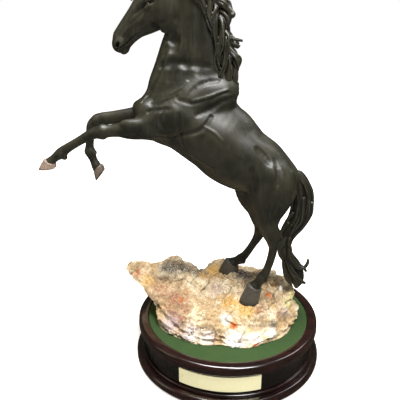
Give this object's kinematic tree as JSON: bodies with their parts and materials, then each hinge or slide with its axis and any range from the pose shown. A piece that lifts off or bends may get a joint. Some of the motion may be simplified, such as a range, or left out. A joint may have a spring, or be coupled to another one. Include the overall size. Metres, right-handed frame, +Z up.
{
  "type": "rearing horse figurine",
  "caption": "Rearing horse figure, satin black, standing on painted rockwork over a turned dark wooden plinth with baize inset and blank brass plaque.",
  "frame": {"origin": "centre of the plinth's underside", "axes": "+Z up; the horse faces -X and its left side and the name plaque face -Y"},
  "size_m": [0.307, 0.214, 0.434],
  "materials": {
    "mahogany": "polished, very dark red-brown",
    "dark_drum": "polished, nearly black",
    "green_baize": "napped baize",
    "brass": "polished, blank",
    "steel": "plain",
    "painted_rock": "hand-painted, matt",
    "black_coat": "satin black glaze",
    "black_hair": "satin black glaze, grooved"
  },
  "bodies": {
    "root": {"plinth_foot": "mahogany", "plinth_rim": "mahogany", "plinth_drum": "dark_drum", "baize_top": "green_baize", "underside_felt": "green_baize", "name_plaque": "brass", "plaque_pin_left": "brass", "plaque_pin_right": "brass", "rockwork": "painted_rock", "horse_body": "black_coat", "horse_neck": "black_coat", "horse_head": "black_coat", "left_ear": "black_coat", "right_ear": "black_coat", "left_foreleg": "black_coat", "right_foreleg": "black_coat", "left_hind_leg": "black_coat", "right_hind_leg": "black_coat", "mane": "black_hair", "forelock": "black_hair", "tail": "black_hair", "hoof_dowel_left": "steel", "hoof_dowel_right": "steel", "fixing_screw_1": "steel", "fixing_washer_1": "steel", "fixing_screw_2": "steel", "fixing_washer_2": "steel", "fixing_screw_3": "steel", "fixing_washer_3": "steel"}
  },
  "joints": []
}
